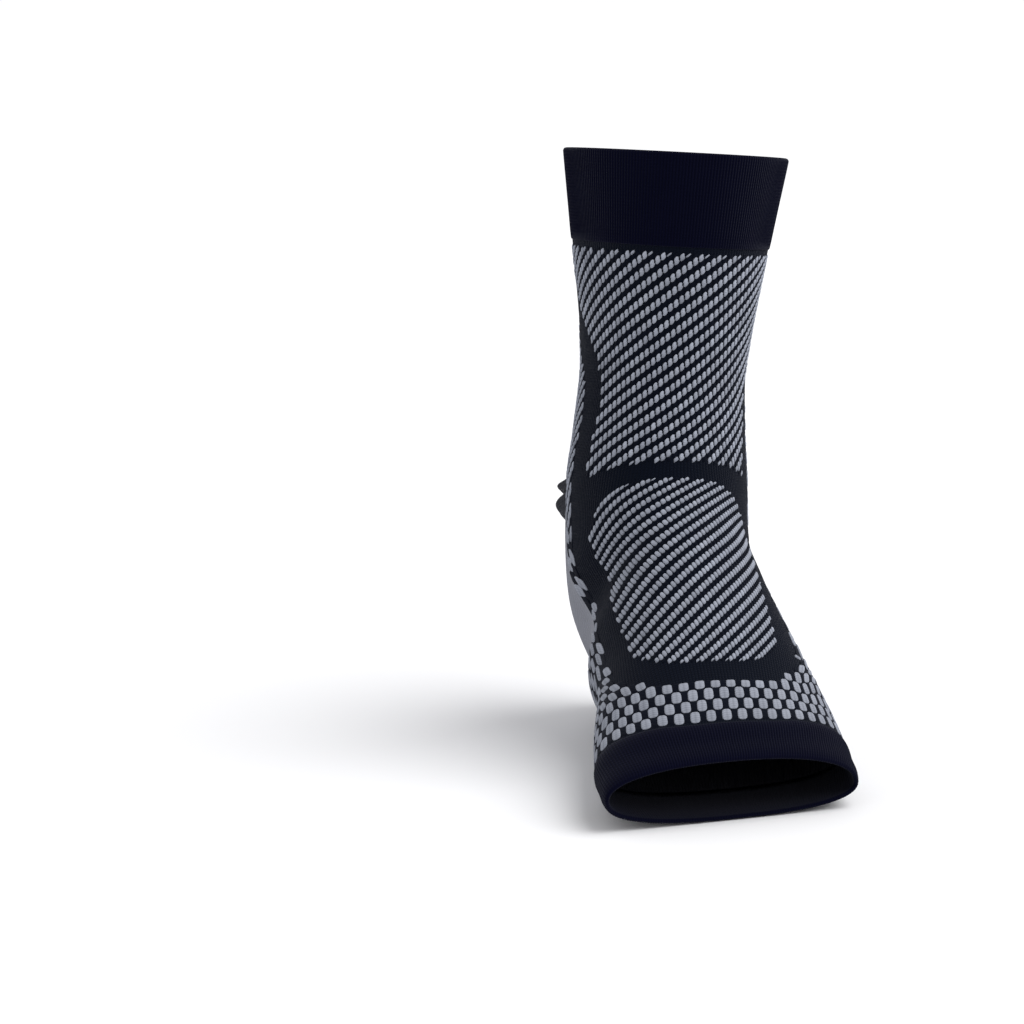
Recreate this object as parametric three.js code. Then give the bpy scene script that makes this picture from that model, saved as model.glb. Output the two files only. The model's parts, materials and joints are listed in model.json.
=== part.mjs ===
// Knitted ankle compression sleeve with an open toe and a closed heel, for one foot, in its worn shape.
// Millimetres. Toes point along -Y, the little toe's side is +X and +Z is up.
// The origin is on the inside of the sole, below the ankle, where the foot bears on the sleeve.
import * as THREE from "three";

// Driving sizes
const SEAT_HEIGHT = 4.5; // from the ground up to the inside of the sole at the origin
const SEAM_GAP = 0.3; // between neighbouring pieces
const LEG_LEAN = Math.tan(THREE.MathUtils.degToRad(3)); // the leg leans towards the little toe's side
const LEAN_START = 100; // heights above the ground between which the lean comes in
const LEAN_FULL = 160;
const STRIP_WIDTH = 13; // from the frame's outer edge to the heel's edge
const CORNER_POWER = 4; // how late the instep window's corners turn
const FOLD_FADE = 0.15; // share of the back over which a heel fold rises from its end

// Girth sections of the outer wall from the toe rim to the top rim. Each lies in a plane through its front
// and back ends. "at" is its distance along the front ridge, "medial" and "lateral" are half widths on either
// side of "centre", "widest" is the share of the depth where they are reached, the two rounds are the powers
// of its outline, "ridge" moves the front end sideways and "slant" sets the little toe's side back.
const SECTION_COLUMNS = [
  "at", "frontY", "frontZ", "backY", "backZ", "medial", "lateral",
  "widest", "frontRound", "backRound", "centre", "ridge", "slant",
];
const SECTIONS = {
  toeRim: [0, -133, 24, -127, 0.5, 48.5, 48.5, 0.55, 2.3, 2.5, 0, -6, 0.19],
  toeCuffHead: [17.5, -118, 32.5, -102, 0.5, 49, 50, 0.58, 2.2, 2.6, 2, -7, 0.17],
  forefoot: [43, -97, 45, -60, 1, 44.5, 51.5, 0.58, 2, 2.7, 5, -9, 0.14],
  instepLow: [72, -75, 64, -18, 3, 36.8, 48.5, 0.58, 2, 2.8, 7, -10, 0.05],
  instepHigh: [94, -60, 80, 14, 3, 34.5, 45.5, 0.55, 2, 2.6, 7, -10.5, 0],
  heelFloor: [111, -51, 94, 45, 3, 29, 42.5, 0.5, 2, 2.05, 6, -10, 0],
  heelBack: [122, -46, 104, 63, 25, 34.2, 39, 0.45, 2, 1.9, 3, -8, 0],
  ankleLow: [137, -42, 118.5, 52, 88, 34.8, 37.5, 0.45, 2, 2, 0.5, -5, 0],
  ankle: [154, -40, 135, 46, 118, 34, 34, 0.45, 2, 2, 1, -2.5, 0],
  shin: [176, -39, 157, 45, 150, 33, 32, 0.45, 2, 2, 2, -0.5, 0],
  cuffFoot: [217, -42, 198, 49, 198, 39.5, 36.5, 0.46, 2, 2, 5, 0, 0],
  topRim: [254, -45, 236, 52, 236, 46, 41.5, 0.47, 2, 2, 8, 0, 0],
};

// Edges of the dark frame and its arms, as girth lengths from the front ridge on either side, moved together
// towards the little toe's side by "shift".
const EDGE_COLUMNS = ["at", "inner", "outer", "shift"];
const EDGES = [
  [43, 26, 34, 5],
  [64, 31, 44, 3.5],
  [80, 34, 47, 2],
  [97, 38, 52, 0.5],
  [112, 43, 59, 0],
  [121, 45, 61, 0],
  [137, 40, 54, 0],
  [154, 37, 50, 0.5],
  [161, 35.5, 48.5, 0.5],
  [170, 38, 53, 0.5],
  [180, 45, 64, 0],
  [196, 61, 82, 0],
  [217, 81, 104, 0],
];

// The sleeve is charted in course bands from the toe rim upwards, and in four columns on either side of the
// front ridge: front, arm, strip and back. "from" is where a band starts on the ridge, "corner", "edge" and
// "rear" lift that start at the frame's inner and outer edges and at the back, and "steps" is how many
// courses of facets it takes.
const COLUMN_STEPS = { front: 6, arm: 2, strip: 2, back: 9 };
const allRound = (piece) => ({ front: piece, arm: piece, strip: piece, back: piece });
const BANDS = [
  { from: 0, corner: 0, edge: 0, steps: 3, ...allRound("toe_cuff") },
  { from: 19.4, corner: 1.8, edge: 2.7, rear: 4.4, steps: 4, ...allRound("foot_sleeve") },
  {
    from: 43, corner: 3, edge: 15, steps: 2,
    front: "ankle_frame", arm: "ankle_frame", strip: "foot_sleeve", back: "foot_sleeve",
  },
  {
    from: 52, corner: 12, edge: 16, steps: 5,
    front: "instep_panel", arm: "ankle_frame", strip: "foot_sleeve", back: "foot_sleeve",
  },
  {
    from: 85, corner: 3, edge: 4, rear: 12, steps: 8,
    front: "instep_panel", arm: "ankle_frame", strip: "foot_sleeve", back: "heel_cup",
  },
  {
    from: 118, corner: -5, edge: -5, steps: 5,
    front: "instep_panel", arm: "ankle_frame", strip: "foot_sleeve", back: "heel_cup",
  },
  {
    from: 131, corner: -9, edge: -9, rear: 2, steps: 6,
    front: "ankle_frame", arm: "ankle_frame", strip: "leg_sleeve", back: "heel_folds",
  },
  {
    from: 137, corner: -1.5, edge: -1.5, rear: 2.5, steps: 13,
    front: "leg_sleeve", arm: "ankle_frame", strip: "leg_sleeve", back: "leg_sleeve",
  },
  { from: 214.5, corner: 0, edge: 0, steps: 1, ...allRound("leg_sleeve") },
  { from: 219.3, corner: 0, edge: 0, steps: 5, ...allRound("top_cuff") },
];
const TOP_RIM = { from: 254, corner: 0, edge: 0 };

// The two crosswise folds behind the ankle: their share of the band's height, and how far they stand out.
const HEEL_FOLDS = [
  { low: 0, high: 0.58, height: 4.2 },
  { low: 0.58, high: 1, height: 3.8 },
];

// Each piece's wall, how far its face stands out from the plain knit, and its yarn
const BLACK_YARN = { color: "#15171f", roughness: 0.88 };
const GREY_YARN = { color: "#8b8f99", roughness: 0.9 };
const TWILL_YARN = { color: "#50535d", roughness: 0.9 };
const PIECES = {
  toe_cuff: { wall: 2, proud: 0.3, yarn: BLACK_YARN },
  foot_sleeve: { wall: 1.6, proud: 0, yarn: TWILL_YARN },
  ankle_frame: { wall: 1.6, proud: 0, yarn: BLACK_YARN },
  instep_panel: { wall: 1.6, proud: 0, yarn: TWILL_YARN },
  heel_cup: { wall: 1.6, proud: 0, yarn: GREY_YARN },
  heel_folds: { wall: 1.6, proud: 0, yarn: BLACK_YARN, folds: HEEL_FOLDS },
  leg_sleeve: { wall: 1.6, proud: 0, yarn: TWILL_YARN },
  top_cuff: { wall: 2.2, proud: 0.5, yarn: BLACK_YARN },
};

const RING_SAMPLES = 360;
const DIFFERENCE = 0.5; // half step of the wall's slopes, in millimetres
const NUDGE = 0.02; // step of the chart's directions, in columns and shares of a band

/** Smooth curve through a table's rows, as an object of its named columns. */
function rowAt(columns, rows, at) {
  const last = rows.length - 1;
  const where = THREE.MathUtils.clamp(at, rows[0][0], rows[last][0]);
  const next = Math.max(1, rows.findIndex((row) => row[0] >= where));
  const [low, high] = [rows[next - 1], rows[next]];
  const span = high[0] - low[0];
  const t = (where - low[0]) / span;
  const slope = (index, column) => {
    const [a, b] = [rows[Math.max(index - 1, 0)], rows[Math.min(index + 1, last)]];
    return (b[column] - a[column]) / (b[0] - a[0]);
  };
  const value = (name, column) => {
    const ease = t * t * (3 - 2 * t);
    const bend = slope(next - 1, column) * t * (1 - t) ** 2 - slope(next, column) * t * t * (1 - t);
    return [name, low[column] + (high[column] - low[column]) * ease + bend * span];
  };
  return Object.fromEntries(columns.map(value));
}

/** One closed girth of the outer wall, measured so that points can be taken at equal lengths around it. */
function girthAt(at) {
  const s = rowAt(SECTION_COLUMNS, Object.values(SECTIONS), at);
  const points = [];
  const lengths = [0];
  for (let k = 0; k <= RING_SAMPLES; k += 1) {
    const angle = (2 * Math.PI * k) / RING_SAMPLES;
    const [sine, cosine] = [Math.sin(angle), Math.cos(angle)];
    const power = 2 / (cosine >= 0 ? s.frontRound : s.backRound);
    const swell = Math.abs(cosine) ** power;
    const depth = cosine >= 0 ? s.widest * (1 - swell) : s.widest + (1 - s.widest) * swell;
    const half = sine >= 0 ? s.lateral : s.medial;
    const x = Math.sign(sine) * Math.abs(sine) ** power * half + s.ridge * (1 - depth) + s.centre;
    const y = THREE.MathUtils.lerp(s.frontY, s.backY, depth) + s.slant * x;
    const height = THREE.MathUtils.lerp(s.frontZ, s.backZ, depth);
    const lean = LEG_LEAN * THREE.MathUtils.smoothstep(height, LEAN_START, LEAN_FULL) * x;
    points.push(new THREE.Vector3(x, y, height - lean - SEAT_HEIGHT));
    if (k > 0) {
      lengths.push(lengths[k - 1] + points[k].distanceTo(points[k - 1]));
    }
  }
  const length = lengths[RING_SAMPLES];
  const point = (share) => {
    const along = (share - Math.floor(share)) * length;
    const next = Math.max(1, lengths.findIndex((reached) => reached >= along));
    const t = (along - lengths[next - 1]) / (lengths[next] - lengths[next - 1]);
    return points[next - 1].clone().lerp(points[next], t);
  };
  return { length, point };
}

/** The outer wall's point at a girth length from the ridge, and its outward normal. */
function wallAt(arc, at) {
  const girth = girthAt(at);
  const share = arc / girth.length;
  const step = DIFFERENCE / girth.length;
  const around = girth.point(share + step).sub(girth.point(share - step));
  const upward = girthAt(at + DIFFERENCE).point(share).sub(girthAt(at - DIFFERENCE).point(share));
  const normal = new THREE.Vector3().crossVectors(around, upward).normalize();
  return { point: girth.point(share), normal };
}

/** Girth length from the ridge of a chart column, which runs from -4 at the back, by 0 at the ridge, to 4. */
function arcAt(column, at) {
  const edge = rowAt(EDGE_COLUMNS, EDGES, at);
  const stops = [0, edge.inner, edge.outer, edge.outer + STRIP_WIDTH, girthAt(at).length / 2];
  const reach = Math.abs(column);
  const low = Math.min(Math.floor(reach), stops.length - 2);
  const length = THREE.MathUtils.lerp(stops[low], stops[low + 1], reach - low);
  const shift = edge.shift * THREE.MathUtils.clamp(4 - reach, 0, 1);
  return Math.sign(column) * length + shift;
}

/** Place along the ridge of a band's start, as it is lifted at a chart column. */
function bandStart({ from, corner, edge, rear = 0 }, column) {
  const reach = Math.abs(column);
  if (reach <= 1) {
    return from + corner * reach ** CORNER_POWER;
  }
  if (reach <= 2) {
    return from + THREE.MathUtils.lerp(corner, edge, reach - 1);
  }
  return from + THREE.MathUtils.lerp(edge, rear, Math.min(reach - 2, 1));
}

/** The chart's columns from the back, by the big toe's side, front and little toe's side, to the back. */
function chartColumns() {
  const outward = Object.entries(COLUMN_STEPS).flatMap(([part, steps], index) =>
    Array.from({ length: steps }, (_, k) => ({
      part,
      start: index + k / steps,
      end: index + (k + 1) / steps,
    })));
  const medial = outward.map(({ part, start, end }) => ({ part, start: -end, end: -start })).reverse();
  return [...medial, ...outward];
}

/** The chart's courses from the toe rim to the top rim, each with its band and its shares of that band. */
function chartCourses() {
  return BANDS.flatMap((band, index) =>
    Array.from({ length: band.steps }, (_, k) => ({
      band,
      above: BANDS[index + 1] ?? TOP_RIM,
      start: k / band.steps,
      end: (k + 1) / band.steps,
    })));
}

const columns = chartColumns();
const courses = chartCourses();
const pieceOf = (i, j) => courses[j]?.band[columns[(i + columns.length) % columns.length].part];

/** How far a fold of the wall stands out at a chart column and a share of the band's height. */
function foldHeight(folds, column, share) {
  const rise = THREE.MathUtils.smoothstep(Math.abs(column), 3, 3 + FOLD_FADE);
  const waves = folds.map(({ low, high, height }) => {
    const across = THREE.MathUtils.clamp((share - low) / (high - low), 0, 1);
    return height * Math.sin(Math.PI * across) ** 2;
  });
  return rise * Math.max(...waves);
}

/** Outer and inner points of a piece's wall at a chart corner, drawn in by half a seam at its edge. */
function wallCorner(name, i, j) {
  const { wall, proud, folds } = PIECES[name];
  const inside = (di, dj) => (pieceOf(i + di, j + dj) === name ? 1 : 0);
  const sideways = Math.sign(inside(0, 0) + inside(0, -1) - inside(-1, 0) - inside(-1, -1));
  const lengthways = Math.sign(inside(0, 0) + inside(-1, 0) - inside(0, -1) - inside(-1, -1));
  const course = inside(0, 0) + inside(-1, 0) > 0 ? courses[j] : courses[j - 1];
  const place = (column, share) => {
    const at = THREE.MathUtils.lerp(bandStart(course.band, column), bandStart(course.above, column), share);
    return wallAt(arcAt(column, at), at);
  };
  const column = columns[i].start;
  const share = course === courses[j] ? course.start : course.end;
  const { point, normal } = place(column, share);
  const across = place(column + (sideways || 1) * NUDGE, share).point.sub(point).normalize();
  const along = place(column, share + (lengthways || 1) * NUDGE).point.sub(point).normalize();
  const inset = SEAM_GAP / 2 / across.clone().cross(along).length();
  point.addScaledVector(across, Math.abs(sideways) * inset);
  point.addScaledVector(along, Math.abs(lengthways) * inset);
  const outward = proud + (folds ? foldHeight(folds, column, share) : 0);
  return {
    outer: point.clone().addScaledVector(normal, outward),
    inner: point.clone().addScaledVector(normal, outward - wall),
  };
}

/** A closed wall over every chart cell of one piece. */
function wallGeometry(name) {
  const positions = [];
  const triangles = [];
  const corners = new Map();
  const corner = (i, j) => {
    const key = `${i % columns.length},${j}`;
    if (!corners.has(key)) {
      const { outer, inner } = wallCorner(name, i % columns.length, j);
      corners.set(key, { outer: positions.length / 3, inner: positions.length / 3 + 1 });
      positions.push(...outer.toArray(), ...inner.toArray());
    }
    return corners.get(key);
  };
  const quad = (a, b, c, d) => triangles.push(a, b, c, a, c, d);
  courses.forEach((_, j) => columns.forEach((__, i) => {
    if (pieceOf(i, j) !== name) {
      return;
    }
    const [a, b, c, d] = [corner(i, j), corner(i + 1, j), corner(i + 1, j + 1), corner(i, j + 1)];
    quad(a.outer, b.outer, c.outer, d.outer);
    quad(d.inner, c.inner, b.inner, a.inner);
    const edges = [
      { beside: pieceOf(i, j - 1), wall: [a.outer, a.inner, b.inner, b.outer] },
      { beside: pieceOf(i + 1, j), wall: [b.outer, b.inner, c.inner, c.outer] },
      { beside: pieceOf(i, j + 1), wall: [c.inner, d.inner, d.outer, c.outer] },
      { beside: pieceOf(i - 1, j), wall: [d.inner, a.inner, a.outer, d.outer] },
    ];
    edges.filter(({ beside }) => beside !== name).forEach(({ wall }) => quad(...wall));
  }));
  const geometry = new THREE.BufferGeometry();
  geometry.setAttribute("position", new THREE.Float32BufferAttribute(positions, 3));
  geometry.setIndex(triangles);
  geometry.computeVertexNormals();
  return geometry;
}

const sleeve = new THREE.Group();
for (const [name, { yarn }] of Object.entries(PIECES)) {
  const mesh = new THREE.Mesh(wallGeometry(name), new THREE.MeshStandardMaterial({ ...yarn, metalness: 0 }));
  mesh.name = name;
  sleeve.add(mesh);
}

export default sleeve;
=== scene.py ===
"""Knitted ankle compression sleeve in its worn shape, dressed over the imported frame.

The toe opening faces -Y, the outer side is +X and +Z is up. Tables are in millimetres, meshes in metres.
"""

import json
import logging
import math
from dataclasses import dataclass
from enum import Enum
from typing import Any, Callable, NamedTuple, Sequence, Union

import bpy
import numpy as np
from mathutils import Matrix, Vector

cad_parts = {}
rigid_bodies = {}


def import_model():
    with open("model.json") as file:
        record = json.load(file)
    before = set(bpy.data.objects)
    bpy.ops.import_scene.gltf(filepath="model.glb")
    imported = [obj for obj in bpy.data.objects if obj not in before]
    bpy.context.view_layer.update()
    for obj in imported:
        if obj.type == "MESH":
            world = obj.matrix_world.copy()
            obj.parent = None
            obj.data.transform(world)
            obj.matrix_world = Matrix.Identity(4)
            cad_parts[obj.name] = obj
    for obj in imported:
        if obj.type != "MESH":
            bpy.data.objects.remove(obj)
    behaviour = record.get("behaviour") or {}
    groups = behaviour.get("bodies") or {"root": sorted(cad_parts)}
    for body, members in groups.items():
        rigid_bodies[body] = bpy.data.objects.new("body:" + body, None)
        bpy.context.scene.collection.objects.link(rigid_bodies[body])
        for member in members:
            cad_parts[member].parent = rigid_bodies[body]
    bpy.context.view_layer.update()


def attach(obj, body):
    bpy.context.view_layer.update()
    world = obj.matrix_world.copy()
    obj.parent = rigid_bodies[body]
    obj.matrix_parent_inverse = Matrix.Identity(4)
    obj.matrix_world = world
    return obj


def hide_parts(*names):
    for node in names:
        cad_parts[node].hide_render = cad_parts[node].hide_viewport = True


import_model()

LOG = logging.getLogger("sleeve")
Array, Material, Mesh = np.ndarray, bpy.types.Material, bpy.types.Mesh
Node, Piece, Socket = bpy.types.Node, bpy.types.Object, bpy.types.NodeSocket
# Lengths are in millimetres, angles in degrees and fades in columns of the chart
MM = 0.001
SEAT_HEIGHT = 4.5
LEG_LEAN = math.tan(math.radians(3))
LEAN_START, LEAN_FULL = 100.0, 160.0
STRIP_WIDTH = 13.0
CORNER_POWER = 4
RIM_ANGLE = 55.0
POCKET_COLUMN = 3.0
HEEL_RIBS, HEEL_RIB_HEIGHT, HEEL_FADE = 120, 0.18, 0.06
FOLD_BAND, FOLD_SPLIT, FOLD_HEIGHTS, FOLD_ROUND, FOLD_FADE = 6, 0.58, (4.2, 3.8), 0.9, 0.15
STRIPES_ROUND, STRIPE_SPAN, COUNT_STEP = 36, 40.0, 0.05
LEG_MIDDLE, INSTEP_MIDDLE, ACROSS_FOOT = 176.0, 80.0, (0.985, -0.174)
WALE_STEP, LANE_STEP, TRIM_STEPS, LEAST_RATE = 0.1, 0.25, 13, 0.05
STITCH_WRAP, SQUARE_WRAP, GROOVE_WIDTH, CUT_BLUNTNESS = 0.6, 0.72, 0.3, 14.0
FIBRE_SCALE, CLOUD_SCALE, BUMP_DEPTH = 2600.0, 70.0, 0.00035
SHEEN_ROUGHNESS, SHEEN_TINT = 0.45, (0.75, 0.78, 0.9, 1)


class Section(NamedTuple):
    """One girth of the outer wall: ends above the ground, half widths, roundness, sideways offsets."""

    at: float
    front_y: float
    front_z: float
    back_y: float
    back_z: float
    medial: float
    lateral: float
    widest: float
    front_round: float
    back_round: float
    centre: float
    ridge: float
    slant: float


SECTIONS: tuple[Section, ...] = (
    Section(0, -133, 24, -127, 0.5, 48.5, 48.5, 0.55, 2.3, 2.5, 0, -6, 0.19),
    Section(17.5, -118, 32.5, -102, 0.5, 49, 50, 0.58, 2.2, 2.6, 2, -7, 0.17),
    Section(43, -97, 45, -60, 1, 44.5, 51.5, 0.58, 2, 2.7, 5, -9, 0.14),
    Section(72, -75, 64, -18, 3, 36.8, 48.5, 0.58, 2, 2.8, 7, -10, 0.05),
    Section(94, -60, 80, 14, 3, 34.5, 45.5, 0.55, 2, 2.6, 7, -10.5, 0),
    Section(111, -51, 94, 45, 3, 29, 42.5, 0.5, 2, 2.05, 6, -10, 0),
    Section(122, -46, 104, 63, 25, 34.2, 39, 0.45, 2, 1.9, 3, -8, 0),
    Section(137, -42, 118.5, 52, 88, 34.8, 37.5, 0.45, 2, 2, 0.5, -5, 0),
    Section(154, -40, 135, 46, 118, 34, 34, 0.45, 2, 2, 1, -2.5, 0),
    Section(176, -39, 157, 45, 150, 33, 32, 0.45, 2, 2, 2, -0.5, 0),
    Section(217, -42, 198, 49, 198, 39.5, 36.5, 0.46, 2, 2, 5, 0, 0),
    Section(254, -45, 236, 52, 236, 46, 41.5, 0.47, 2, 2, 8, 0, 0),
)


class Edge(NamedTuple):
    """Girth lengths from the front ridge to the dark frame's two edges, moved together by a shift."""

    at: float
    inner: float
    outer: float
    shift: float


EDGES: tuple[Edge, ...] = (
    Edge(43, 26, 34, 5),
    Edge(64, 31, 44, 3.5),
    Edge(80, 34, 47, 2),
    Edge(97, 38, 52, 0.5),
    Edge(112, 43, 59, 0),
    Edge(121, 45, 61, 0),
    Edge(137, 40, 54, 0),
    Edge(154, 37, 50, 0.5),
    Edge(161, 35.5, 48.5, 0.5),
    Edge(170, 38, 53, 0.5),
    Edge(180, 45, 64, 0),
    Edge(196, 61, 82, 0),
    Edge(217, 81, 104, 0),
)


class Band(NamedTuple):
    """A band of courses: its start on the ridge, how it is lifted outwards, and its pieces outwards."""

    start: float
    corner: float
    edge: float
    rear: float
    pieces: tuple[str, ...]


BANDS: tuple[Band, ...] = (
    Band(0, 0, 0, 0, ("toe_cuff",) * 4),
    Band(19.4, 1.8, 2.7, 4.4, ("foot_sleeve",) * 4),
    Band(43, 3, 15, 0, ("ankle_frame", "ankle_frame", "foot_sleeve", "foot_sleeve")),
    Band(52, 12, 16, 0, ("instep_panel", "ankle_frame", "foot_sleeve", "foot_sleeve")),
    Band(85, 3, 4, 12, ("instep_panel", "ankle_frame", "foot_sleeve", "heel_cup")),
    Band(118, -5, -5, 0, ("instep_panel", "ankle_frame", "foot_sleeve", "heel_cup")),
    Band(131, -9, -9, 2, ("ankle_frame", "ankle_frame", "leg_sleeve", "heel_folds")),
    Band(137, -1.5, -1.5, 2.5, ("leg_sleeve", "ankle_frame", "leg_sleeve", "leg_sleeve")),
    Band(214.5, 0, 0, 0, ("leg_sleeve",) * 4),
    Band(219.3, 0, 0, 0, ("top_cuff",) * 4),
    Band(254, 0, 0, 0, ()),
)


def smooth_rows(rows: Sequence[tuple], at: Array) -> Array:
    """Read a table by a smooth curve through its rows.

    Args:
        rows: table rows, whose first column is the place along the ridge.
        at: places to read.

    Returns:
        One row of all the table's columns for each place.
    """
    table = np.array(rows, float)
    stations = table[:, 0]
    numbers = np.arange(len(table))
    before, after = np.maximum(numbers - 1, 0), np.minimum(numbers + 1, len(table) - 1)
    slope = (table[after] - table[before]) / (stations[after] - stations[before])[:, None]
    where = np.clip(at, stations[0], stations[-1])
    low = np.clip(np.searchsorted(stations, where, side="right") - 1, 0, len(table) - 2)
    span = (stations[low + 1] - stations[low])[:, None]
    t = (where - stations[low])[:, None] / span
    rise = table[low] + (table[low + 1] - table[low]) * t * t * (3 - 2 * t)
    return rise + span * (slope[low] * t * (1 - t) ** 2 - slope[low + 1] * t * t * (1 - t))


def smoothstep(value: Array, low: float, high: float) -> Array:
    """Ease from 0 at low to 1 at high."""
    t = np.clip((value - low) / (high - low), 0, 1)
    return t * t * (3 - 2 * t)


def unit(vectors: Array) -> Array:
    """Vectors at length one."""
    return vectors / np.linalg.norm(vectors, axis=-1, keepdims=True)


class Skin:
    """The sleeve's outer wall, tabulated at equal shares of every girth."""

    STEP = 0.5
    SHARES = 720
    SAMPLES = 1440

    def __init__(self) -> None:
        """Tabulate points, directions and lengths of the wall in millimetres."""
        last = SECTIONS[-1].at
        self.stations = np.linspace(0, last, int(last / self.STEP) + 1)
        self.points, self.girths = self._girths()
        self.upward = np.gradient(self.points, self.stations, axis=0)
        wrapped = np.concatenate([self.points[:, -2:-1], self.points, self.points[:, 1:2]], axis=1)
        self.around = unit(wrapped[:, 2:] - wrapped[:, :-2])
        self.normal = unit(np.cross(self.around, self.upward))
        steps = np.linalg.norm(np.diff(self.points, axis=0), axis=2)
        self.lengths = np.concatenate([np.zeros((1, self.SHARES + 1)), np.cumsum(steps, axis=0)])

    def _girths(self) -> tuple[Array, Array]:
        """Measure every girth.

        Returns:
            Points at equal shares of each girth, and its length.
        """
        columns = smooth_rows(SECTIONS, self.stations).T[:, :, None]
        s = Section(*columns)
        angle = np.linspace(0, 2 * np.pi, self.SAMPLES + 1)[None]
        sine, cosine = np.sin(angle), np.cos(angle)
        power = 2 / np.where(cosine >= 0, s.front_round, s.back_round)
        swell = np.abs(cosine) ** power
        depth = np.where(cosine >= 0, s.widest * (1 - swell), s.widest + (1 - s.widest) * swell)
        half = np.where(sine >= 0, s.lateral, s.medial)
        x = np.sign(sine) * np.abs(sine) ** power * half + s.ridge * (1 - depth) + s.centre
        y = s.front_y + (s.back_y - s.front_y) * depth + s.slant * x
        z = s.front_z + (s.back_z - s.front_z) * depth
        z = z - LEG_LEAN * smoothstep(z, LEAN_START, LEAN_FULL) * x - SEAT_HEIGHT
        rings = np.stack([x, y, z], axis=2)
        run = np.cumsum(np.linalg.norm(np.diff(rings, axis=1), axis=2), axis=1)
        run = np.concatenate([np.zeros((len(rings), 1)), run], axis=1)
        shares = np.linspace(0, 1, self.SHARES + 1)
        even = [[np.interp(shares * r[-1], r, ring[:, k]) for k in range(3)] for r, ring in zip(run, rings)]
        return np.array(even).transpose(0, 2, 1), run[:, -1]

    def read(self, table: Array, share: Array, at: Array) -> Array:
        """Read one of the wall's tables between its entries.

        Args:
            table: a table of this wall.
            share: shares of the girth from the ridge towards the outer side.
            at: places along the ridge, in millimetres.

        Returns:
            The table's values.
        """
        row = np.clip(np.asarray(at) / self.STEP, 0, len(self.stations) - 1.000001)
        column = (np.asarray(share) % 1.0) * self.SHARES
        i, j = row.astype(int), np.minimum(column.astype(int), self.SHARES - 1)
        t, u = row - i, column - j
        if table.ndim == 3:
            t, u = t[..., None], u[..., None]
        low = table[i, j] * (1 - u) + table[i, j + 1] * u
        high = table[i + 1, j] * (1 - u) + table[i + 1, j + 1] * u
        return low * (1 - t) + high * t

    def place(self, share: Array, at: Array, offset: Union[Array, float] = 0.0) -> Array:
        """Points that stand off the wall by an offset along its normal, in millimetres."""
        lift = np.broadcast_to(np.asarray(offset, float), np.shape(share))[..., None]
        return self.read(self.points, share, at) + unit(self.read(self.normal, share, at)) * lift

    def girth(self, at: Array) -> Array:
        """Length of the girth at a place along the ridge."""
        return np.interp(at, self.stations, self.girths)


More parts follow.
